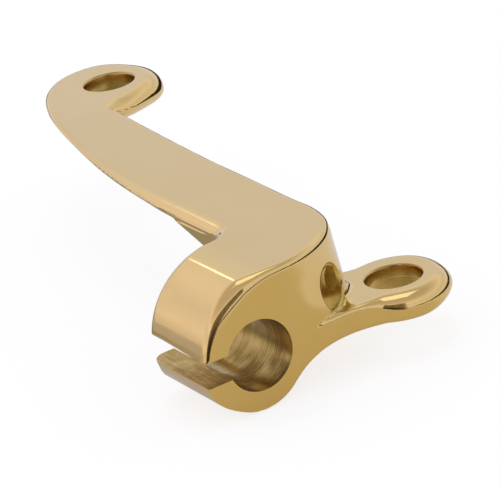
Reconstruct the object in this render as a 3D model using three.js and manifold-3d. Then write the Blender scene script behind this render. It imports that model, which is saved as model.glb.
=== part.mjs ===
// Cast brass rod lever: a block bored and slotted for a round rod, a flat arm that runs
// back beside the rod to an eyelet, and a short ear with a second eyelet. A grub screw
// in an oblique spot-faced hole reaches the bore.
// Millimetres. The origin is on the bore's axis at the front face; +Y runs back along
// the bore, +X points to the ear and +Z is up, square to the two eyelets' faces.
import * as THREE from 'three';
import { mergeVertices } from 'three/addons/utils/BufferGeometryUtils.js';
import Module from 'manifold-3d';

const wasm = await Module();
wasm.setup();

// ---------- driving dimensions ----------
const boreRadius = 6;
const slotHeight = 4.4;
const blockDepth = 18.7;
const topHeight = 13.2;
const blockRight = 24.1;
const noseCentre = { x: 3.9, z: -0.5 };
const noseRadius = 14.1;
const creaseX = -1;
const crownEndX = 5;
const ringRadius = 9.1;
const lipAngle = -1.9;
const bellyAngle = -0.86;
const blockEdge = 1.2;

const plateThickness = 4.3;
const earEdge = 1.7;
const armTopEdge = 1.1;
const armBellyEdge = 3;
const eyeletHole = 4.75;
const farEye = { x: 32.5, y: 102.5 };
const farRim = { x: 31.9, y: 103.2, radius: 10.2 };
const nearEye = { x: 29.3, y: 5.1 };
const nearRim = { x: 29.5, y: 5.1, radius: 9 };
const earTop = 1.2;
const earThickness = 4.45;

const spotCentre = { x: 17.2, y: 3.3, z: 4.9 };
const spotRadius = 4;
const spotDepth = 2.2;
const screwLift = 1.2;
const screwAxis = new THREE.Vector3(0.68, -0.70, 0.2).normalize();
const screwHoleRadius = 1.95;
const screwHoleLength = 19.5;
const screwRadius = 1.75;
const screwLength = 7;
const screwTipReach = 16.2;
const driverSlotWidth = 0.7;
const driverSlotDepth = 1.3;

const pastFace = 4;

// ---------- materials ----------
const polishedBrass = new THREE.MeshStandardMaterial({
  name: 'polished_brass', color: 0xd2ae6d, roughness: 0.14, metalness: 1,
});
const screwBrass = new THREE.MeshStandardMaterial({
  name: 'screw_brass', color: 0xb08a48, roughness: 0.35, metalness: 1,
});

// ---------- solids and booleans ----------
function toSolid(geometry) {
  geometry.deleteAttribute('normal');
  geometry.deleteAttribute('uv');
  const merged = mergeVertices(geometry, 1e-4);
  return new wasm.Manifold(new wasm.Mesh({
    numProp: 3,
    vertProperties: new Float32Array(merged.attributes.position.array),
    triVerts: new Uint32Array(merged.index.array),
  }));
}

function toGeometry(solid) {
  const mesh = solid.getMesh();
  const geometry = new THREE.BufferGeometry();
  geometry.setAttribute('position', new THREE.BufferAttribute(new Float32Array(mesh.vertProperties), 3));
  geometry.setIndex(new THREE.BufferAttribute(new Uint32Array(mesh.triVerts), 1));
  geometry.computeVertexNormals();
  return geometry;
}

// A slab whose outline is its widest section; the edge is rounded inwards on both faces.
function roundedSlab(shape, thickness, edge, curveSegments) {
  return new THREE.ExtrudeGeometry(shape, {
    depth: thickness - 2 * edge,
    bevelEnabled: edge > 0,
    bevelSize: edge,
    bevelThickness: edge,
    bevelOffset: -edge,
    bevelSegments: 3,
    curveSegments,
  }).translate(0, 0, edge);
}

// A plan outline, extruded up from the height given.
function plate(shape, bottom, thickness, edge) {
  return toSolid(roundedSlab(shape, thickness, edge, 10).translate(0, 0, bottom));
}

// A cylinder of the radius given, standing on Z or turned to lie along another direction.
function rod(radius, length, centre, direction) {
  const geometry = new THREE.CylinderGeometry(radius, radius, length, 48);
  const turn = new THREE.Quaternion().setFromUnitVectors(new THREE.Vector3(0, 1, 0), direction);
  return toSolid(geometry.applyQuaternion(turn).translate(centre.x, centre.y, centre.z));
}

function eyeletBore(eye) {
  const direction = new THREE.Vector3(0, 0, 1);
  return rod(eyeletHole, 60, new THREE.Vector3(eye.x, eye.y, 0), direction);
}

// ---------- outlines ----------
// The top plate in plan: the block's top, the arm and the hooked far eye.
function topPlan() {
  const shape = new THREE.Shape();
  shape.moveTo(creaseX - 1.5, 0);
  shape.lineTo(6, 0);
  shape.bezierCurveTo(15, 0.3, blockRight, 6, blockRight, 18);
  shape.bezierCurveTo(blockRight - 1.2, 42, 24.6, 60, 25.9, 90.3);
  shape.quadraticCurveTo(31.5, 91.2, 36.5, 94.1);
  shape.absarc(farRim.x, farRim.y, farRim.radius, -1.1, 2.36, false);
  shape.bezierCurveTo(20, 107, 16.2, 98, 13.1, 84.5);
  shape.bezierCurveTo(9.8, 71, 7.9, 58, 7.8, 40);
  shape.lineTo(7.8, 24);
  shape.quadraticCurveTo(7.8, blockDepth, 4, blockDepth);
  shape.lineTo(creaseX - 1.5, blockDepth);
  shape.closePath();
  return shape;
}

// The block's section, looking along the bore, with Z drawn upwards.
function blockSection() {
  const creaseAngle = Math.acos((creaseX - noseCentre.x) / noseRadius);
  const jawAngle = Math.PI - Math.asin((slotHeight / 2 - noseCentre.z) / noseRadius);
  const shape = new THREE.Shape();
  shape.moveTo(blockRight, topHeight);
  shape.lineTo(crownEndX, topHeight);
  shape.absarc(noseCentre.x, noseCentre.z, noseRadius, creaseAngle, jawAngle, false);
  shape.lineTo(-9.9, -3);
  shape.quadraticCurveTo(-8.9, -6.3, ringRadius * Math.cos(lipAngle), ringRadius * Math.sin(lipAngle));
  shape.absarc(0, 0, ringRadius, lipAngle, bellyAngle, false);
  shape.bezierCurveTo(8.2, -4.6, 10.5, earTop - earThickness, 16, earTop - earThickness);
  shape.lineTo(blockRight, earTop - earThickness);
  shape.closePath();
  return shape;
}

// The block in plan: a large rounding at the front right corner.
function blockPlan() {
  const shape = new THREE.Shape();
  shape.moveTo(-pastFace * 4, -pastFace);
  shape.lineTo(6, -pastFace);
  shape.lineTo(6, 0);
  shape.bezierCurveTo(15, 0.3, blockRight, 6, blockRight, 18);
  shape.lineTo(blockRight, blockDepth + pastFace);
  shape.lineTo(-pastFace * 4, blockDepth + pastFace);
  shape.closePath();
  return shape;
}

function earPlan() {
  const shape = new THREE.Shape();
  shape.moveTo(9, 0);
  shape.lineTo(16, 0);
  shape.bezierCurveTo(19, 0, 21, -0.6, 23.2, -1.45);
  shape.absarc(nearRim.x, nearRim.y, nearRim.radius, -2.32, 1.75, false);
  shape.quadraticCurveTo(24.5, 13.4, 21, 17);
  shape.lineTo(9, 17);
  shape.closePath();
  return shape;
}

// The web under the arm, drawn with the bore's direction to the right and Z up.
function webSection() {
  const armUnderside = topHeight - plateThickness;
  const shape = new THREE.Shape();
  shape.moveTo(blockDepth - 3, armUnderside + 2);
  shape.lineTo(blockDepth - 3, earTop - earThickness + 1);
  shape.lineTo(blockDepth, earTop - earThickness + 1);
  shape.bezierCurveTo(blockDepth + 3, 4, blockDepth + 8, armUnderside - 1, blockDepth + 20, armUnderside + 2);
  shape.closePath();
  return shape;
}

// ---------- the casting ----------
function blockSolid() {
  const section = roundedSlab(blockSection(), blockDepth, blockEdge, 14);
  // XY of the section becomes XZ of the part: a turn about X, then the depth runs back.
  section.rotateX(Math.PI / 2).translate(0, blockDepth, 0);
  const column = plate(blockPlan(), -30, 60, 0);
  return toSolid(section).intersect(column);
}

// Crisp edge above, deep belly rounding below: two slabs of one outline, met together.
function armSolid() {
  const bottom = topHeight - plateThickness;
  const crisp = plate(topPlan(), topHeight - 3 * plateThickness, 3 * plateThickness, armTopEdge);
  const belly = plate(topPlan(), bottom, 3 * plateThickness, armBellyEdge);
  return crisp.intersect(belly);
}

function webSolid() {
  const width = 12;
  const left = 8.7;
  const web = roundedSlab(webSection(), width, 0, 10);
  // XY of the section becomes YZ of the part.
  web.rotateX(Math.PI / 2).rotateZ(Math.PI / 2).translate(left, 0, 0);
  return toSolid(web);
}

function slotSolid() {
  const length = 20;
  const slot = new THREE.BoxGeometry(length, blockDepth + 2 * pastFace, slotHeight);
  return toSolid(slot.translate(-length / 2, blockDepth / 2, 0));
}

// The oblique hole: a flat-bottomed spot face, and above its middle the screw's hole.
function screwMouth() {
  return new THREE.Vector3(spotCentre.x, spotCentre.y, spotCentre.z + screwLift);
}

function obliqueCut() {
  const spotLength = 14;
  const spotMiddle = new THREE.Vector3(spotCentre.x, spotCentre.y, spotCentre.z)
    .addScaledVector(screwAxis, spotLength / 2 - spotDepth);
  const holeMiddle = screwMouth().addScaledVector(screwAxis, -screwHoleLength / 2);
  const spot = rod(spotRadius, spotLength, spotMiddle, screwAxis);
  return spot.add(rod(screwHoleRadius, screwHoleLength, holeMiddle, screwAxis));
}

function leverBody() {
  let casting = armSolid().add(blockSolid());
  casting = casting.add(plate(earPlan(), earTop - earThickness, earThickness, earEdge));
  casting = casting.add(webSolid());
  const bore = rod(boreRadius, blockDepth + 2 * pastFace, new THREE.Vector3(0, blockDepth / 2, 0),
    new THREE.Vector3(0, 1, 0));
  casting = casting.subtract(bore.add(slotSolid()));
  casting = casting.subtract(eyeletBore(farEye)).subtract(eyeletBore(nearEye));
  casting = casting.subtract(obliqueCut());
  const mesh = new THREE.Mesh(toGeometry(casting), polishedBrass);
  mesh.name = 'lever_body';
  return mesh;
}

// ---------- the set screw ----------
// Turned about Y, tip down; its driver slot is cut across the top.
function setScrew() {
  const profile = [
    [0, 0], [screwRadius * 0.55, 0], [screwRadius, screwRadius * 0.45],
    [screwRadius, screwLength - 0.25], [screwRadius - 0.25, screwLength], [0, screwLength],
  ].map(([radius, height]) => new THREE.Vector2(radius, height));
  const blank = toSolid(new THREE.LatheGeometry(profile, 32));
  const cut = new THREE.BoxGeometry(3 * screwRadius, 2 * driverSlotDepth, driverSlotWidth);
  const screw = blank.subtract(toSolid(cut.translate(0, screwLength, 0)));
  const mesh = new THREE.Mesh(toGeometry(screw), screwBrass);
  mesh.name = 'set_screw';
  mesh.quaternion.setFromUnitVectors(new THREE.Vector3(0, 1, 0), screwAxis);
  mesh.position.copy(screwMouth().addScaledVector(screwAxis, -screwTipReach));
  return mesh;
}

const lever = new THREE.Group();
lever.add(leverBody());
lever.add(setScrew());

export default lever;
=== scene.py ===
import math

import bpy
import numpy as np
from mathutils import Matrix, Vector


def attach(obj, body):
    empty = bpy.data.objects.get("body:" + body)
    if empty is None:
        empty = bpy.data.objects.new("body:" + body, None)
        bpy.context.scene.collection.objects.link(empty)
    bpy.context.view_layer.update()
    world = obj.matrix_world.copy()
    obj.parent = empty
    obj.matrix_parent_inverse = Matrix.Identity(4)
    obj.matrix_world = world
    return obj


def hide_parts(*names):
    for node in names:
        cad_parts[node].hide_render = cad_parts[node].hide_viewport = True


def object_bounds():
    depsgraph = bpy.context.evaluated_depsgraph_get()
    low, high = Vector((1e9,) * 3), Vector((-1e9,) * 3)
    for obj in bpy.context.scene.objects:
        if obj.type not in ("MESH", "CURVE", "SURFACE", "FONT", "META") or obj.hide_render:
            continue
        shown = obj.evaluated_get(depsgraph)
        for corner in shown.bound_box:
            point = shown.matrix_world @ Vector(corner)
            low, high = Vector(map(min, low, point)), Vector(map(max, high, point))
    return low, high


# Cast and polished brass rod lever. Lengths are in millimetres in the part's own frame, unless
# a comment says metres. The origin is on the bore's axis at the front face, +Y runs back along
# the bore, +X to the ear and +Z up.
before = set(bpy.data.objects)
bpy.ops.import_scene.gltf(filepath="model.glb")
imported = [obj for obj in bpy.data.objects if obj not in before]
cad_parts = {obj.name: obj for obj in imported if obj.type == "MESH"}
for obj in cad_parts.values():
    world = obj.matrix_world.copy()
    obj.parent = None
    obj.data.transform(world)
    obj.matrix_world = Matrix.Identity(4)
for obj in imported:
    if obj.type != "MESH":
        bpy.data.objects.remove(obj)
cad_low, cad_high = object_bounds()

MM = 0.001

# ---------- driving dimensions ----------
CELL = 0.3

BORE_RADIUS = 6.0
SLOT_HEIGHT = 4.2
TOP_HEIGHT = 13.2
BLOCK_RIGHT = 23.95
BLOCK_DEPTH = 18.7
# the crease across the block, where the flat top turns down into the round nose
CREASE = (-1.0, 12.7)
CROWN_END = 5.0
NOSE_CENTRE = (3.95, -0.5)
NOSE_RADIUS = 14.05
# the lower jaw and the ring's underside
RING_RADIUS = 8.95
RING_CENTRE = (-0.58, -0.38)
# the block's front right corner ends here, where the straight right wall begins
CORNER_END = 18
# well past the nose and the ear, where another outline gives the shape
CLEAR_LEFT = -16
CLEAR_RIGHT = 60
PLATE_THICKNESS = 4.3
EAR_THICKNESS = 4.45
EYELET_RADIUS = 4.75
NEAR_EYE = (29.3, 5.1)
NEAR_RIM_CENTRE = (29.5, 5.15)
NEAR_RIM = 9.22
FAR_EYE = (32.5, 102.5)
FAR_RIM_CENTRE = (32.05, 103.5)
FAR_RIM = 10.7
EAR_TOP = 1.2
# the right wall leans in above the start height, faster towards the top
LEAN_RATE = 0.011
LEAN_START = 6.0
# the rib under the arm slopes by its fall over its reach
WEB_FALL = 8.6
WEB_REACH = 18.3
WEB_LEFT = 8.2
WEB_RIGHT = 21.5
# the flat seat beside the ear that the screw's hole starts from
SPOT_CENTRE = Vector((16.4, 2.75, 4.85))
SPOT_AXIS = Vector((0.56, -0.83, 0.15)).normalized()
SPOT_RADIUS = 4.2
SPOT_DEPTH = 0.25
SPOT_CORNER = 1.0
SCREW_MOUTH = Vector((17.2, 3.3, 6.1))
SCREW_AXIS = Vector((0.68, -0.70, 0.2)).normalized()
SCREW_HOLE_RADIUS = 1.95
SCREW_HOLE_LENGTH = 19.5
SCREW_RADIUS = 1.75
SCREW_LENGTH = 7.0
SCREW_TIP_REACH = 16.2
THREAD_PITCH = 0.7
THREAD_DEPTH = 0.3
DRIVER_SLOT_WIDTH = 0.7
DRIVER_SLOT_DEPTH = 1.3
# how far a cutter runs past the face it cuts
PAST_FACE = 4.0

# tool marks as texture scales: how close together they are, and how fast each changes along itself
CLOSE, LONG = 8000, 110
ALMOST_BLACK = (0.02, 0.015, 0.01)


# ---------- outlines ----------
def curve(*points, steps=20):
    """Points along a Bezier curve of any degree, without its last point."""
    along = np.linspace(0, 1, steps, endpoint=False)[:, None]
    level = [np.array(point, float)[None, :] for point in points]
    while len(level) > 1:
        level = [a + (b - a) * along for a, b in zip(level, level[1:])]
    return level[0]


def arc(centre, radius, start, end, steps=40):
    """Points on a circular arc, angles in radians, without its last point."""
    angles = np.linspace(start, end, steps, endpoint=False)
    return np.array(centre) + radius * np.stack([np.cos(angles), np.sin(angles)], axis=1)


def outline(*stretches):
    """One closed outline from its stretches, in order."""
    return np.concatenate([np.array(stretch, float).reshape(-1, 2) for stretch in stretches])


def front_right_corner(start=6, pull=15):
    """The wide sweep from the front face into the right wall."""
    return curve((start, 0), (pull, 0.3), (BLOCK_RIGHT, 6.0), (BLOCK_RIGHT, CORNER_END), steps=36)


def top_plan():
    """The block's top, the arm and its hooked far eye, drawn as one outline."""
    return outline(
        [(CLEAR_LEFT, 0)],
        front_right_corner(),
        curve((BLOCK_RIGHT, CORNER_END), (BLOCK_RIGHT - 1.3, 42), (24.0, 60), (25.95, 89.9), steps=30),
        curve((25.95, 89.9), (31.5, 90.5), (36.9, 93.96), steps=12),
        arc(FAR_RIM_CENTRE, FAR_RIM, -1.1, 2.36, steps=70),
        curve((24.45, 111.03), (19.9, 107.3), (16.4, 98), (13.5, 84.5), steps=24),
        curve((13.5, 84.5), (10.5, 71), (8.0, 58), (7.4, 40), steps=24),
        curve((7.4, 24), (7.4, BLOCK_DEPTH), (4.3, BLOCK_DEPTH), steps=14),
        [(4.3, BLOCK_DEPTH), (CLEAR_LEFT, BLOCK_DEPTH)],
    )


def block_plan(start, pull):
    """The block from above, with its own front right corner."""
    return outline(
        [(CLEAR_LEFT, 0)],
        front_right_corner(start, pull),
        [(BLOCK_RIGHT, CORNER_END), (BLOCK_RIGHT, BLOCK_DEPTH), (CLEAR_LEFT, BLOCK_DEPTH)],
    )


def foot_plan():
    """The ring's front and the ear, drawn as one outline."""
    return outline(
        [(2, 0), (15, 0)],
        curve((16.5, 0), (19, 0), (21, -0.7), (23.2, -1.45), steps=12),
        arc(NEAR_RIM_CENTRE, NEAR_RIM, -2.32, 1.75, steps=70),
        curve((27.86, 14.22), (24.5, 14.4), (21.4, 18.2), steps=12),
        [(21, BLOCK_DEPTH), (2, BLOCK_DEPTH)],
    )


def side_section():
    """The block, ring and ear seen along the bore, X to the right and Z up."""
    crease_angle = math.acos((CREASE[0] - NOSE_CENTRE[0]) / NOSE_RADIUS)
    lip_height = -2.6
    lip_angle, belly_angle = -1.9, -0.86
    lip_side = NOSE_CENTRE[0] - math.sqrt(NOSE_RADIUS**2 - (lip_height - NOSE_CENTRE[1]) ** 2)
    ring = arc(RING_CENTRE, RING_RADIUS, lip_angle, belly_angle, steps=30)
    ear_bottom = EAR_TOP - EAR_THICKNESS
    jaw_angle = math.pi + math.asin((NOSE_CENTRE[1] - lip_height) / NOSE_RADIUS)
    return outline(
        [(CLEAR_RIGHT, TOP_HEIGHT)],
        curve((CROWN_END, TOP_HEIGHT), (2, TOP_HEIGHT), CREASE, steps=10),
        arc(NOSE_CENTRE, NOSE_RADIUS, crease_angle, jaw_angle, steps=50),
        curve((lip_side, lip_height), (-9.3, -6.3), ring[0], steps=12),
        ring,
        curve((5.5, -6.95), (8.0, -4.75), (10.5, ear_bottom), (16, ear_bottom), steps=20),
        [(16, ear_bottom), (CLEAR_RIGHT, ear_bottom)],
    )


# ---------- distance fields ----------
def outline_distance(u, v, shape):
    """Signed distance from each point to a closed outline, negative inside."""
    u, v = np.broadcast_arrays(u, v)
    nearest = np.full(u.shape, np.inf)
    inside = np.zeros(u.shape, bool)
    for (start_u, start_v), (end_u, end_v) in zip(shape, np.roll(shape, -1, axis=0)):
        run, rise = end_u - start_u, end_v - start_v
        if run == rise == 0:
            continue
        du, dv = u - start_u, v - start_v
        along = np.clip((du * run + dv * rise) / (run * run + rise * rise), 0, 1)
        nearest = np.minimum(nearest, (du - along * run) ** 2 + (dv - along * rise) ** 2)
        if rise:
            spans = (dv >= 0) != (v >= end_v)
            inside ^= spans & ((du * rise < dv * run) == (rise > 0))
    return np.where(inside, -1, 1) * np.sqrt(nearest)


def met(a, b, radius):
    """Inside both; the edge where the two surfaces meet has the radius given."""
    corner = np.hypot(np.maximum(a + radius, 0), np.maximum(b + radius, 0))
    return np.minimum(np.maximum(a, b), -radius) + corner


def joined(a, b, radius):
    """Inside either; the corner where the two surfaces meet is filled to the radius."""
    corner = np.hypot(np.maximum(radius - a, 0), np.maximum(radius - b, 0))
    return np.maximum(np.minimum(a, b), radius) - corner


def eased(value, start, end):
    """0 before start, 1 after end, smooth between."""
    share = np.clip((value - start) / (end - start), 0, 1)
    return share * share * (3 - 2 * share)


TOP_PLAN, FOOT_PLAN = top_plan(), foot_plan()
UPPER_BLOCK_PLAN, LOWER_BLOCK_PLAN = block_plan(6, 15), block_plan(10, 17)
SIDE_SECTION = side_section()


def wall_lean(x, y, z):
    """How far the right wall leans in towards the top, until the arm is clear of the block."""
    return LEAN_RATE * np.maximum(z - LEAN_START, 0) ** 2 * eased(x, 9, 18) * eased(-y, -40, -18)


def top_edge(x, y):
    """The radius of the edge round the flat top."""
    # the block: rounder at the front by the nose, and along the nose's back
    shoulder = 1.0 + 1.5 * np.exp(-(((x + 2.5) / 4.6) ** 2))
    nose_back = 0.6 + 1.6 * eased(-x, -4, 2)
    block = shoulder + (nose_back - shoulder) * eased(y, 6, 12)
    # the arm: its left edge sharpens towards the eye
    arm_left = 2.4 - 1.4 * eased(y, 30, 80)
    arm_right = 0.6 + 0.45 * eased(-y, -34, -16)
    arm = arm_left + (arm_right - arm_left) * eased(x - 0.09 * np.maximum(y - 40, 0), 12, 18)
    # the far eye is well rounded on the side that faces the front right
    off_x, off_y = x - FAR_EYE[0], y - FAR_EYE[1]
    eye = 0.9 + 2.2 * eased(off_x - off_y, -9, 4)
    arm = arm + (eye - arm) * eased(-np.hypot(off_x, off_y), -17, -10.5)
    return block + (arm - block) * np.maximum(eased(y, 18, 22), eased(x, 12, 18) * eased(y, 8, 14))


def block_field(x, y, z, section):
    """The block as far as its back face, with the jaws on its left."""
    upper = outline_distance(x, y, UPPER_BLOCK_PLAN)
    lower = outline_distance(x, y, LOWER_BLOCK_PLAN)
    walls = lower + (upper - lower) * eased(z, 2, 10) + wall_lean(x, y, z)
    lip_corner = 0.3 + 2.2 * eased(-x, 4, 7) * eased(y, 4, 14) * eased(z, -7, -3)
    edge = lip_corner + (top_edge(x, np.minimum(y, 17)) - lip_corner) * eased(z, -1, 3.5)
    block = met(walls, section, edge)
    # the upper jaw's outer edge rolls under, more at the back than at the front
    roll = 0.25 + 0.75 * eased(y, 0, 15)
    jaw = met(section, SLOT_HEIGHT / 2 - 0.1 - z, roll)
    return np.where((x < -5) & (z > 0), np.maximum(block, jaw), block)


def arm_field(x, y, z, section):
    """The top plate: crisp above, and a shallow oval belly under the arm."""
    plan = outline_distance(x, y, TOP_PLAN) + wall_lean(x, y, z)
    # the arm's left edge is a wide low bevel that ends in a crease above the side
    bevel = eased(y, 19, 22) * eased(-x - 0.12 * (60 - y), -18, -14) * (1 - eased(y, 88, 102))
    overhang = 0.8 - 0.45 * eased(y, 30, 80)
    upper = met((plan - overhang * bevel) * (1 - 0.35 * bevel), section, top_edge(x, y))
    upper = np.maximum(upper, plan)
    # the eye is fuller below than the arm, most of all on its front and right
    full = eased(y, 84, 100) * eased(x, 20, 32)
    spread = 0.7 - 0.28 * eased(y, 19, 24) + 0.5 * full
    depth = PLATE_THICKNESS - 0.55 * eased(y, 32, 50) + 1.1 * full
    belly = met(plan * spread, TOP_HEIGHT - depth - z, 3.5 - 2.0 * full)
    return np.maximum(upper, belly)


def foot_field(x, y, z, section):
    """The ring's front and the ear; the ear's upper edge is rounded to a crease in its side."""
    plan = outline_distance(x, y, FOOT_PLAN)
    # the ear is rounder at its front than at its back, and below at its far end
    edge = 1.1 + eased(x, 19, 26) * (0.6 + 1.1 * eased(-y, -12, -3))
    upper = np.maximum(met(plan - 0.1 + 0.06 * eased(x, 20, 27), z - EAR_TOP, edge), plan)
    under_edge = 0.3 + 0.6 * eased(x, 8, 18) + 1.3 * eased(x, 28, 36)
    return met(upper, section, under_edge)


def web_field(x, y, z):
    """The rib that runs down from the arm's underside to the block's back."""
    slope = ((y - 18) * WEB_FALL - (z - 1.4) * WEB_REACH) / math.hypot(WEB_FALL, WEB_REACH)
    sides = met(WEB_LEFT + 0.3 * (10 - z) - x, x - WEB_RIGHT, 0.5)
    body = met(sides, slope, 1.0)
    return np.maximum(np.maximum(body, z - 11), 10 - y)


def casting_field(x, y, z):
    """The whole casting before it is bored: block, foot, web and arm run into one another."""
    section = outline_distance(x, z, SIDE_SECTION)
    block = block_field(x, y, z, section)
    foot = foot_field(x, y, z, section)
    web = web_field(x, y, z)
    arm = arm_field(x, y, z, section)
    # a fillet in the corner behind the spot face, none at the front
    body = joined(block, foot, 0.001 + 1.6 * eased(x, 14, 20) * eased(-y, -13, -7))
    body = joined(body, web, 0.7)
    # the arm blends into the block's back below its underside, not across the flat top
    below_arm = eased(-z, -9.6, -8.6)
    return joined(body, arm, 0.001 + 0.8 * below_arm * eased(y, 12, 17))


# ---------- from field to mesh ----------
def sample(low, high, cell):
    """The field's value at every point of a grid."""
    axes = [np.arange(a, b + cell, cell) for a, b in zip(low, high)]
    x, y, z = axes[0][:, None, None], axes[1][None, :, None], axes[2][None, None, :]
    shape = tuple(len(axis) for axis in axes)
    return np.broadcast_to(casting_field(x, y, z), shape).astype(np.float32)


def surface_net(values, low, cell):
    """A quad mesh on the field's zero: a point in every cell that the surface crosses."""
    inside = values < 0
    corners = [(i, j, k) for i in (0, 1) for j in (0, 1) for k in (0, 1)]
    size = np.array(values.shape) - 1
    count = np.zeros(size, np.int8)
    for i, j, k in corners:
        count += inside[i:size[0] + i, j:size[1] + j, k:size[2] + k]
    cells = np.argwhere((count > 0) & (count < 8))
    number = np.full(size, -1, np.int64)
    number[tuple(cells.T)] = np.arange(len(cells))

    total = np.zeros((len(cells), 3))
    crossings = np.zeros(len(cells))
    for first in corners:
        for axis in range(3):
            if first[axis]:
                continue
            second = list(first)
            second[axis] = 1
            a = values[tuple((cells + first).T)]
            b = values[tuple((cells + second).T)]
            crosses = (a < 0) != (b < 0)
            share = np.where(crosses, a / np.where(crosses, a - b, 1), 0)
            point = np.tile(np.array(first, float), (len(cells), 1))
            point[:, axis] = share
            total += np.where(crosses[:, None], point, 0)
            crossings += crosses
    points = (cells + total / crossings[:, None]) * cell + np.array(low)

    quads = []
    for axis in range(3):
        u, v = (axis + 1) % 3, (axis + 2) % 3
        here = [slice(1, -1)] * 3
        there = [slice(1, -1)] * 3
        here[axis], there[axis] = slice(0, -1), slice(1, None)
        a, b = inside[tuple(here)], inside[tuple(there)]
        offset = np.ones(3, int)
        offset[axis] = 0
        for enters in (False, True):
            edges = np.argwhere((a != b) & (b == enters)) + offset
            ring = []
            for du, dv in ((0, 0), (1, 0), (1, 1), (0, 1)):
                cell_index = edges.copy()
                cell_index[:, u] -= du
                cell_index[:, v] -= dv
                ring.append(number[tuple(cell_index.T)])
            ring = np.stack(ring, axis=1)
            quads.append(ring[:, ::-1] if enters else ring)
    return points, np.concatenate(quads)


def settled(points, rounds=2, step=0.01):
    """Points moved along the field's slope onto its zero."""
    for _ in range(rounds):
        value = casting_field(*points.T)
        slope = np.empty_like(points)
        for axis in range(3):
            moved = points.copy()
            moved[:, axis] += step
            slope[:, axis] = (casting_field(*moved.T) - value) / step
        length = np.maximum((slope**2).sum(axis=1), 0.25)
        travel = np.clip(value / length, -CELL / 2, CELL / 2)
        points = points - slope * travel[:, None]
    return points


def new_object(name, vertices, faces, material=None):
    """A mesh object from points in millimetres."""
    mesh = bpy.data.meshes.new(name)
    mesh.from_pydata((np.array(vertices) * MM).tolist(), [], [list(face) for face in faces])
    mesh.update()
    made = bpy.data.objects.new(name, mesh)
    bpy.context.scene.collection.objects.link(made)
    if material:
        mesh.materials.append(material)
    return made


def turned(name, profile, origin, axis, material, segments=160):
    """A closed solid of revolution: profile is (radius, height) pairs, from axis to axis."""
    turn = Vector((0, 0, 1)).rotation_difference(Vector(axis)).to_matrix()
    vertices, faces = [], []
    inner = profile[1:-1]
    for radius, height in inner:
        for step in range(segments):
            angle = 2 * math.pi * step / segments
            local = Vector((radius * math.cos(angle), radius * math.sin(angle), height))
            vertices.append(Vector(origin) + turn @ local)
    for level in range(len(inner) - 1):
        for step in range(segments):
            after = (step + 1) % segments
            a, b = level * segments, (level + 1) * segments
            faces.append((a + step, a + after, b + after, b + step))
    for (_, height), level, forward in ((profile[0], 0, False), (profile[-1], len(inner) - 1, True)):
        ring = [level * segments + step for step in range(segments)]
        faces.append(ring if forward else ring[::-1])
    return new_object(name, vertices, faces, material)


def box(name, low, high, material):
    """A plain block between two corners, used as a cutter."""
    corners = [
        (x, y, z)
        for x in (low[0], high[0])
        for y in (low[1], high[1])
        for z in (low[2], high[2])
    ]
    faces = [(0, 1, 3, 2), (4, 6, 7, 5), (0, 4, 5, 1), (2, 3, 7, 6), (0, 2, 6, 4), (1, 5, 7, 3)]
    return new_object(name, corners, faces, material)


def cut(target, cutter):
    """Takes the cutter out of the target; the new faces keep the cutter's material."""
    modifier = target.modifiers.new("cut", "BOOLEAN")
    modifier.object = cutter
    modifier.operation = "DIFFERENCE"
    modifier.solver = "MANIFOLD"
    modifier.material_mode = "TRANSFER"
    bpy.context.view_layer.update()
    evaluated = target.evaluated_get(bpy.context.evaluated_depsgraph_get())
    mesh = bpy.data.meshes.new_from_object(evaluated)
    target.modifiers.clear()
    target.data = mesh
    bpy.data.objects.remove(cutter)


def smooth_by_angle(target, degrees=32):
    """Smooth shading that stays sharp at edges steeper than the angle."""
    target.data.shade_smooth()
    target.data.set_sharp_from_angle(angle=math.radians(degrees))


# ---------- materials ----------
def shader_tree(name):
    """A new node material, its tree and its shader."""
    material = bpy.data.materials.new(name)
    material.use_nodes = True
    tree = material.node_tree
    return material, tree, tree.nodes["Principled BSDF"]


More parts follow.
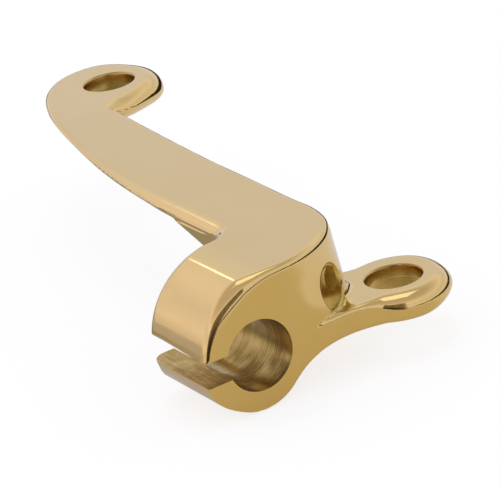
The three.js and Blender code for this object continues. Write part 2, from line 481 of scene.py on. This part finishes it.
def polishing_group():
    """Colour, roughness and height of hand-polished brass."""
    group = bpy.data.node_groups.new("hand_polish", "ShaderNodeTree")
    face = group.interface
    for name, kind, value in (
        ("Light tone", "NodeSocketColor", (0.85, 0.6, 0.24, 1)),
        ("Deep tone", "NodeSocketColor", (0.8, 0.55, 0.2, 1)),
        ("Smoothest", "NodeSocketFloat", 0.08),
        ("Dullest", "NodeSocketFloat", 0.16),
    ):
        face.new_socket(name, in_out="INPUT", socket_type=kind).default_value = value
    for name, kind in (("Colour", "NodeSocketColor"), ("Roughness", "NodeSocketFloat"),
                       ("Height", "NodeSocketFloat")):
        face.new_socket(name, in_out="OUTPUT", socket_type=kind)
    nodes, links = group.nodes, group.links
    given = nodes.new("NodeGroupInput")
    result = nodes.new("NodeGroupOutput")
    place = nodes.new("ShaderNodeTexCoord")

    cloud = nodes.new("ShaderNodeTexNoise")
    cloud.inputs["Scale"].default_value = 90
    cloud.inputs["Detail"].default_value = 3
    links.new(place.outputs["Object"], cloud.inputs["Vector"])
    tone = nodes.new("ShaderNodeMix")
    tone.data_type = "RGBA"
    links.new(cloud.outputs["Fac"], tone.inputs["Factor"])
    links.new(given.outputs["Light tone"], tone.inputs["A"])
    links.new(given.outputs["Deep tone"], tone.inputs["B"])
    links.new(tone.outputs["Result"], result.inputs["Colour"])

    stretch = nodes.new("ShaderNodeMapping")
    stretch.inputs["Scale"].default_value = (3200, 260, 2400)
    links.new(place.outputs["Object"], stretch.inputs["Vector"])
    lines = nodes.new("ShaderNodeTexNoise")
    lines.inputs["Scale"].default_value = 1
    lines.inputs["Detail"].default_value = 4
    links.new(stretch.outputs["Vector"], lines.inputs["Vector"])
    rough = nodes.new("ShaderNodeMapRange")
    rough.inputs["From Min"].default_value = 0.35
    rough.inputs["From Max"].default_value = 0.7
    links.new(lines.outputs["Fac"], rough.inputs["Value"])
    links.new(given.outputs["Smoothest"], rough.inputs["To Min"])
    links.new(given.outputs["Dullest"], rough.inputs["To Max"])
    links.new(rough.outputs["Result"], result.inputs["Roughness"])

    swell = nodes.new("ShaderNodeTexNoise")
    swell.inputs["Scale"].default_value = 160
    swell.inputs["Detail"].default_value = 1
    links.new(place.outputs["Object"], swell.inputs["Vector"])
    height = nodes.new("ShaderNodeMath")
    height.operation = "MULTIPLY_ADD"
    height.inputs[1].default_value = 0.05
    links.new(lines.outputs["Fac"], height.inputs[0])
    links.new(swell.outputs["Fac"], height.inputs[2])
    links.new(height.outputs["Value"], result.inputs["Height"])
    return group


HAND_POLISH = polishing_group()


def polished_brass():
    """The cast surface after hand polishing, under a thin lacquer."""
    material, tree, shader = shader_tree("polished_brass")
    shader.inputs["Metallic"].default_value = 1
    shader.inputs["Coat Weight"].default_value = 0.6
    shader.inputs["Coat Roughness"].default_value = 0.05
    polish = tree.nodes.new("ShaderNodeGroup")
    polish.node_tree = HAND_POLISH
    bump = tree.nodes.new("ShaderNodeBump")
    bump.inputs["Strength"].default_value = 0.6
    bump.inputs["Distance"].default_value = 0.00002
    tree.links.new(polish.outputs["Colour"], shader.inputs["Base Color"])
    tree.links.new(polish.outputs["Roughness"], shader.inputs["Roughness"])
    tree.links.new(polish.outputs["Height"], bump.inputs["Height"])
    tree.links.new(bump.outputs["Normal"], shader.inputs["Normal"])
    return material


def tool_mark_group():
    """Fine lines left by a cutter, closest together along one axis, and the tone between them."""
    group = bpy.data.node_groups.new("tool_marks", "ShaderNodeTree")
    face = group.interface
    for name, kind in (("Spread", "NodeSocketVector"), ("Light tone", "NodeSocketColor"),
                       ("Deep tone", "NodeSocketColor")):
        face.new_socket(name, in_out="INPUT", socket_type=kind)
    for name, kind in (("Colour", "NodeSocketColor"), ("Mark", "NodeSocketFloat")):
        face.new_socket(name, in_out="OUTPUT", socket_type=kind)
    nodes, links = group.nodes, group.links
    given = nodes.new("NodeGroupInput")
    result = nodes.new("NodeGroupOutput")
    place = nodes.new("ShaderNodeTexCoord")
    stretch = nodes.new("ShaderNodeMapping")
    links.new(place.outputs["Object"], stretch.inputs["Vector"])
    links.new(given.outputs["Spread"], stretch.inputs["Scale"])
    marks = nodes.new("ShaderNodeTexNoise")
    marks.inputs["Scale"].default_value = 1
    marks.inputs["Detail"].default_value = 3
    links.new(stretch.outputs["Vector"], marks.inputs["Vector"])
    cloud = nodes.new("ShaderNodeTexNoise")
    cloud.inputs["Scale"].default_value = 260
    cloud.inputs["Detail"].default_value = 2
    links.new(place.outputs["Object"], cloud.inputs["Vector"])
    both = nodes.new("ShaderNodeMath")
    both.operation = "MULTIPLY_ADD"
    both.inputs[1].default_value = 0.9
    links.new(cloud.outputs["Fac"], both.inputs[0])
    links.new(marks.outputs["Fac"], both.inputs[2])
    spread = nodes.new("ShaderNodeMapRange")
    spread.inputs["From Min"].default_value = 0.7
    spread.inputs["From Max"].default_value = 1.15
    links.new(both.outputs["Value"], spread.inputs["Value"])
    tone = nodes.new("ShaderNodeMix")
    tone.data_type = "RGBA"
    links.new(spread.outputs["Result"], tone.inputs["Factor"])
    links.new(given.outputs["Deep tone"], tone.inputs["A"])
    links.new(given.outputs["Light tone"], tone.inputs["B"])
    links.new(tone.outputs["Result"], result.inputs["Colour"])
    links.new(spread.outputs["Result"], result.inputs["Mark"])
    return group


TOOL_MARKS = tool_mark_group()

def turned_brass(name, across, light, deep, roughness, depth):
    """Machined brass with fine tool marks one after another along the axis across them."""
    material, tree, shader = shader_tree(name)
    shader.inputs["Metallic"].default_value = 1
    marks = tree.nodes.new("ShaderNodeGroup")
    marks.node_tree = TOOL_MARKS
    marks.inputs["Spread"].default_value = [CLOSE if axis == across else LONG for axis in "XYZ"]
    marks.inputs["Light tone"].default_value = (*light, 1)
    marks.inputs["Deep tone"].default_value = (*deep, 1)
    tree.links.new(marks.outputs["Colour"], shader.inputs["Base Color"])
    rough = tree.nodes.new("ShaderNodeMapRange")
    rough.inputs["To Min"].default_value = roughness + 0.1
    rough.inputs["To Max"].default_value = roughness - 0.08
    tree.links.new(marks.outputs["Mark"], rough.inputs["Value"])
    tree.links.new(rough.outputs["Result"], shader.inputs["Roughness"])
    bump = tree.nodes.new("ShaderNodeBump")
    bump.inputs["Strength"].default_value = 0.6
    bump.inputs["Distance"].default_value = depth * MM
    tree.links.new(marks.outputs["Mark"], bump.inputs["Height"])
    tree.links.new(bump.outputs["Normal"], shader.inputs["Normal"])
    return material


# ---------- the lever ----------
def eyelet_cutter(name, eye, top, bottom, material):
    """A straight bore with slightly eased mouths on both faces."""
    ease, flare, past = 0.35, 0.9, 0.6
    mouth = [
        (EYELET_RADIUS, ease),
        (EYELET_RADIUS + 0.08, 0.4 * ease),
        (EYELET_RADIUS + flare, -past),
    ]
    profile = [
        (0, bottom - past),
        *[(radius, bottom + inset) for radius, inset in reversed(mouth)],
        *[(radius, top - inset) for radius, inset in mouth],
        (0, top + past),
    ]
    return turned(name, profile, (eye[0], eye[1], 0), (0, 0, 1), material)


def spot_cutter(material):
    """The cutter that faces the seat round the screw's hole; its edge is rounded."""
    height = 14
    round_corner = [
        (SPOT_RADIUS - SPOT_CORNER + SPOT_CORNER * math.sin(angle),
         SPOT_CORNER - SPOT_CORNER * math.cos(angle))
        for angle in np.linspace(0, math.pi / 2, 10)
    ]
    profile = [(0, 0), *round_corner, (SPOT_RADIUS, height), (0, height)]
    return turned("spot_cutter", profile, SPOT_CENTRE - SPOT_AXIS * SPOT_DEPTH, SPOT_AXIS, material)


def screw_hole_cutter(material):
    """The oblique drill, from past the seat down into the bore."""
    bottom, top = -SCREW_HOLE_LENGTH, 1.5
    profile = [(0, bottom), (SCREW_HOLE_RADIUS, bottom), (SCREW_HOLE_RADIUS, top), (0, top)]
    return turned("screw_hole_cutter", profile, SCREW_MOUTH, SCREW_AXIS, material, 96)


def lever_casting():
    """The whole casting with its machined bore, slot, eyelets, spot face and screw hole."""
    low, high = (-11.5, -5.5, -10.5), (44, 115.5, 15)
    values = sample(low, high, CELL)
    points, quads = surface_net(values, low, CELL)
    casting = new_object("lever_casting", settled(points), quads, polished_brass())
    # the bore's colours are much darker than the cast brass: painted shade and painted dark
    # reflections inside the bore
    turned_bore_painted_shade = turned_brass(
        "turned_bore_painted_shade", across="Y", light=(0.53, 0.37, 0.125), deep=(0.19, 0.11, 0.012),
        roughness=0.24, depth=0.012,
    )
    milled_slot = turned_brass(
        "milled_slot", across="X", light=(0.84, 0.63, 0.27), deep=(0.48, 0.32, 0.09),
        roughness=0.28, depth=0.015,
    )
    drilled_eye = turned_brass(
        "drilled_eyelet", across="Z", light=(0.66, 0.47, 0.18), deep=(0.42, 0.27, 0.07),
        roughness=0.24, depth=0.008,
    )
    drilled_spot = turned_brass(
        "spot_face", across="Z", light=(0.7, 0.52, 0.17), deep=(0.54, 0.38, 0.1),
        roughness=0.16, depth=0.004,
    )
    # the screw hole's colours are lighter than the polished brass: painted light on the hole's shaded
    # wall
    drilled_hole_painted_light = turned_brass(
        "drilled_hole_painted_light", across="Z", light=(0.98, 0.76, 0.22), deep=(0.86, 0.62, 0.13),
        roughness=0.5, depth=0.01,
    )
    slot_half = SLOT_HEIGHT / 2
    depth = BLOCK_DEPTH + 2 * PAST_FACE
    bore_profile = [(0, 0), (BORE_RADIUS, 0), (BORE_RADIUS, depth), (0, depth)]
    slot_low = (-20, -PAST_FACE, -slot_half)
    slot_high = (-3, BLOCK_DEPTH + PAST_FACE, slot_half)
    ear_bottom, arm_bottom = EAR_TOP - EAR_THICKNESS, TOP_HEIGHT - PLATE_THICKNESS
    # built one at a time, because each cut removes its cutter
    cut(casting, turned("bore_cutter", bore_profile, (0, -PAST_FACE, 0), (0, 1, 0), turned_bore_painted_shade, 200))
    cut(casting, box("slot_cutter", slot_low, slot_high, milled_slot))
    cut(casting, eyelet_cutter("near_eye_cutter", NEAR_EYE, EAR_TOP, ear_bottom, drilled_eye))
    cut(casting, eyelet_cutter("far_eye_cutter", FAR_EYE, TOP_HEIGHT, arm_bottom, drilled_eye))
    cut(casting, spot_cutter(drilled_spot))
    cut(casting, screw_hole_cutter(drilled_hole_painted_light))
    smooth_by_angle(casting)
    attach(casting, "casting")
    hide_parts("lever_body")


# ---------- the set screw ----------
def set_screw(material):
    """A slotted grub screw with a rolled thread, tip down."""
    point_length, chamfer, end_inset = 0.9, 0.35, 0.45
    segments, rings_per_turn = 48, 12
    rings = int(SCREW_LENGTH / THREAD_PITCH * rings_per_turn)
    vertices = []
    for ring in range(rings + 1):
        height = SCREW_LENGTH * ring / rings
        # 0 at either end, 1 along the full thread
        full = min(height / point_length, (SCREW_LENGTH - height) / chamfer, 1)
        for step in range(segments):
            phase = (height / THREAD_PITCH - step / segments) % 1
            crest = 1 - abs(2 * phase - 1)
            radius = SCREW_RADIUS - THREAD_DEPTH * (1 - crest) * full - end_inset * (1 - full)
            angle = 2 * math.pi * step / segments
            vertices.append((radius * math.cos(angle), radius * math.sin(angle), height))
    faces = []
    for ring in range(rings):
        for step in range(segments):
            after = (step + 1) % segments
            a, b = ring * segments, (ring + 1) * segments
            faces.append((a + step, a + after, b + after, b + step))
    faces.append(list(reversed(range(segments))))
    faces.append([rings * segments + step for step in range(segments)])
    screw = new_object("grub_screw", vertices, faces, material)
    slot_low = (-3, -DRIVER_SLOT_WIDTH / 2, SCREW_LENGTH - DRIVER_SLOT_DEPTH)
    slot_high = (3, DRIVER_SLOT_WIDTH / 2, SCREW_LENGTH + 2)
    cut(screw, box("driver_slot", slot_low, slot_high, material))
    smooth_by_angle(screw, 40)
    tip = (SCREW_MOUTH - SCREW_AXIS * SCREW_TIP_REACH) * MM
    turn = Vector((0, 0, 1)).rotation_difference(SCREW_AXIS).to_matrix().to_4x4()
    screw.data.transform(Matrix.Translation(tip) @ turn)
    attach(screw, "screw")
    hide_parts("set_screw")


# ---------- stage ----------
def camera():
    """A long lens above the front left of the block, rolled a little."""
    data = bpy.data.cameras.new("camera")
    data.lens = 231.9
    data.sensor_width = 36
    data.clip_end = 20
    made = bpy.data.objects.new("camera", data)
    bpy.context.scene.collection.objects.link(made)
    aim = Vector((4.345, 4.883, 15.375)) * MM
    distance = 508.24
    azimuth, elevation, roll = math.radians(-27.3), math.radians(22.38), math.radians(-11.17)
    back = Vector((
        math.sin(azimuth) * math.cos(elevation),
        -math.cos(azimuth) * math.cos(elevation),
        math.sin(elevation),
    ))
    made.location = aim + back * distance * MM
    level = (-back).to_track_quat("-Z", "Y").to_matrix()
    made.rotation_euler = (level @ Matrix.Rotation(roll, 3, "Z")).to_euler()
    bpy.context.scene.camera = made


def soft_step(tree, value, start, end):
    """0 where the value is at start, 1 where it is at end, smooth between."""
    step = tree.nodes.new("ShaderNodeMapRange")
    step.interpolation_type = "SMOOTHSTEP"
    step.inputs["From Min"].default_value = start
    step.inputs["From Max"].default_value = end
    tree.links.new(value, step.inputs["Value"])
    return step.outputs["Result"]


def from_point(tree, position, centre, start, end):
    """0 closer to the centre than start, 1 further than end, in millimetres."""
    reach = tree.nodes.new("ShaderNodeVectorMath")
    reach.operation = "DISTANCE"
    reach.inputs[1].default_value = [value * MM for value in centre]
    tree.links.new(position, reach.inputs[0])
    return soft_step(tree, reach.outputs["Value"], start * MM, end * MM)


def tinted(tree, factor, below, above):
    """A colour between two others; each of these is a colour or another node's output."""
    mix = tree.nodes.new("ShaderNodeMix")
    mix.data_type = "RGBA"
    tree.links.new(factor, mix.inputs["Factor"])
    for socket, colour in (("A", below), ("B", above)):
        if isinstance(colour, tuple):
            mix.inputs[socket].default_value = (*colour, 1)
        else:
            tree.links.new(colour, mix.inputs[socket])
    return mix.outputs["Result"]


def floor():
    """White to the camera; to every other ray it glows with painted shade, grey in front, a painted
    shadow behind and dark at far right, which the metal shows as painted reflections.
    """
    size, gap = 900, 0.5
    corners = [(-size, -size, 0), (size, -size, 0), (size, size, 0), (-size, size, 0)]
    ground = new_object("floor", corners, [(0, 1, 2, 3)])
    ground.location.z = cad_low.z - gap * MM
    material = bpy.data.materials.new("pale_floor")
    material.use_nodes = True
    tree = material.node_tree
    tree.nodes.clear()
    out = tree.nodes.new("ShaderNodeOutputMaterial")
    paper = tree.nodes.new("ShaderNodeBsdfDiffuse")
    paper.inputs["Color"].default_value = (0.32, 0.32, 0.32, 1)
    lit = tree.nodes.new("ShaderNodeEmission")
    lit.inputs["Strength"].default_value = 0.77
    both = tree.nodes.new("ShaderNodeAddShader")
    tree.links.new(paper.outputs[0], both.inputs[0])
    tree.links.new(lit.outputs[0], both.inputs[1])
    place = tree.nodes.new("ShaderNodeTexCoord")
    split = tree.nodes.new("ShaderNodeSeparateXYZ")
    tree.links.new(place.outputs["Object"], split.inputs[0])
    # painted shade for the metal to reflect: dimmer on the left, a grey patch in front, a painted
    # shadow behind, near black past the right
    to_right = soft_step(tree, split.outputs["X"], -10 * MM, 45 * MM)
    painted_shade_front = from_point(tree, place.outputs["Object"], (8, -30, 0), 30, 52)
    painted_shadow_behind = from_point(tree, place.outputs["Object"], (-10, 82, 0), 34, 56)
    painted_dark_past_right = soft_step(tree, split.outputs["X"], 115 * MM, 145 * MM)
    shade = tinted(tree, to_right, (0.66, 0.66, 0.68), (0.93, 0.92, 0.88))
    shade = tinted(tree, painted_shade_front, (0.78, 0.73, 0.53), shade)
    shade = tinted(tree, painted_shadow_behind, (0.46, 0.43, 0.33), shade)
    shade = tinted(tree, painted_dark_past_right, shade, ALMOST_BLACK)
    bounce = tree.nodes.new("ShaderNodeBsdfDiffuse")
    tree.links.new(shade, bounce.inputs["Color"])
    # the floor glows with this painted shade for every ray but the camera's, though it is no lamp
    painted_glow = tree.nodes.new("ShaderNodeEmission")
    painted_glow.inputs["Strength"].default_value = 0.8
    tree.links.new(shade, painted_glow.inputs["Color"])
    reflected = tree.nodes.new("ShaderNodeMixShader")
    tree.links.new(bounce.outputs[0], reflected.inputs[1])
    tree.links.new(painted_glow.outputs[0], reflected.inputs[2])
    seen = tree.nodes.new("ShaderNodeLightPath")
    pick = tree.nodes.new("ShaderNodeMixShader")
    tree.links.new(seen.outputs["Is Camera Ray"], pick.inputs[0])
    tree.links.new(reflected.outputs[0], pick.inputs[1])
    tree.links.new(both.outputs[0], pick.inputs[2])
    tree.links.new(pick.outputs[0], out.inputs["Surface"])
    ground.data.materials.append(material)


def light_tent():
    """A white tent whose foot is dark on the right."""
    world = bpy.data.worlds.new("light_tent")
    bpy.context.scene.world = world
    world.use_nodes = True
    tree = world.node_tree
    background = tree.nodes["Background"]
    place = tree.nodes.new("ShaderNodeTexCoord")
    split = tree.nodes.new("ShaderNodeSeparateXYZ")
    tree.links.new(place.outputs["Generated"], split.inputs[0])
    ramp = tree.nodes.new("ShaderNodeValToRGB")
    stops = ramp.color_ramp.elements
    stops[0].position, stops[0].color = 0.0, (0.66, 0.66, 0.68, 1)
    stops[1].position, stops[1].color = 1.0, (0.52, 0.51, 0.52, 1)
    for position, colour in ((0.14, (0.82, 0.82, 0.85, 1)), (0.38, (0.71, 0.73, 0.81, 1)),
                             (0.55, (0.86, 0.86, 0.92, 1)), (0.85, (0.54, 0.53, 0.54, 1))):
        stop = stops.new(position)
        stop.color = colour
    tree.links.new(split.outputs["Z"], ramp.inputs["Fac"])
    # the tent's open foot, dark from the front right round to the back right
    dark = tree.nodes.new("ShaderNodeMath")
    dark.operation = "MULTIPLY"
    tree.links.new(soft_step(tree, split.outputs["Z"], 0.11, 0.05), dark.inputs[0])
    tree.links.new(soft_step(tree, split.outputs["X"], -0.25, 0.2), dark.inputs[1])
    # the left side is a little brighter and cooler
    left = tree.nodes.new("ShaderNodeMapRange")
    left.inputs["From Min"].default_value = 0.3
    left.inputs["From Max"].default_value = -0.5
    tree.links.new(split.outputs["X"], left.inputs["Value"])
    lift = tree.nodes.new("ShaderNodeMix")
    lift.data_type = "RGBA"
    lift.blend_type = "MULTIPLY"
    lift.inputs["B"].default_value = (1.13, 1.07, 1.12, 1)
    tree.links.new(left.outputs["Result"], lift.inputs["Factor"])
    tree.links.new(ramp.outputs["Color"], lift.inputs["A"])
    colour = tinted(tree, dark.outputs["Value"], lift.outputs["Result"], ALMOST_BLACK)
    tree.links.new(colour, background.inputs["Color"])


def lens_card():
    """A dark card on the floor and up the front, paler at its far edge; seen only in reflections."""
    foot, top = -9.4, 105
    vertices = [
        (-58, -19, foot),
        (-21, -19, foot),
        (-2, -108, foot),
        (-110, -78, foot),
        (-110, -78, top),
        (-2, -108, top),
    ]
    card = new_object("lens_card", vertices, [(0, 1, 2, 3), (3, 2, 5, 4)])
    material, tree, shader = shader_tree("black_card")
    shader.inputs["Roughness"].default_value = 0.9
    place = tree.nodes.new("ShaderNodeTexCoord")
    edge = from_point(tree, place.outputs["Object"], (-36, -42, 0), 52, 84)
    colour = tinted(tree, edge, (0.03, 0.02, 0.01), (0.3, 0.25, 0.17))
    tree.links.new(colour, shader.inputs["Base Color"])
    card.data.materials.append(material)
    card.visible_camera = False
    card.visible_shadow = False
    card.visible_diffuse = False


def softbox(name, location, aim, size, power):
    """A rectangular light facing its aim; places and sizes in metres."""
    data = bpy.data.lights.new(name, "AREA")
    data.shape = "RECTANGLE"
    data.size, data.size_y = size
    data.energy = power
    made = bpy.data.objects.new(name, data)
    bpy.context.scene.collection.objects.link(made)
    made.location = location
    made.rotation_euler = (Vector(location) - Vector(aim)).to_track_quat("Z", "Y").to_euler()


bpy.context.scene.view_settings.view_transform = "Standard"
camera()
floor()
light_tent()
lens_card()
softbox("top_softbox", (0.1, 0.15, 0.9), aim=(0.015, 0.05, 0), size=(0.5, 0.5), power=0.6)
softbox("strip_light", (0.104, 0.503, 0.339), aim=(0, 0.01, 0.012), size=(0.04, 0.02), power=0.005)
lever_casting()
set_screw(turned_brass(
    "screw_brass", across="Z", light=(0.6, 0.42, 0.2), deep=(0.5, 0.34, 0.14),
    roughness=0.3, depth=0.01,
))
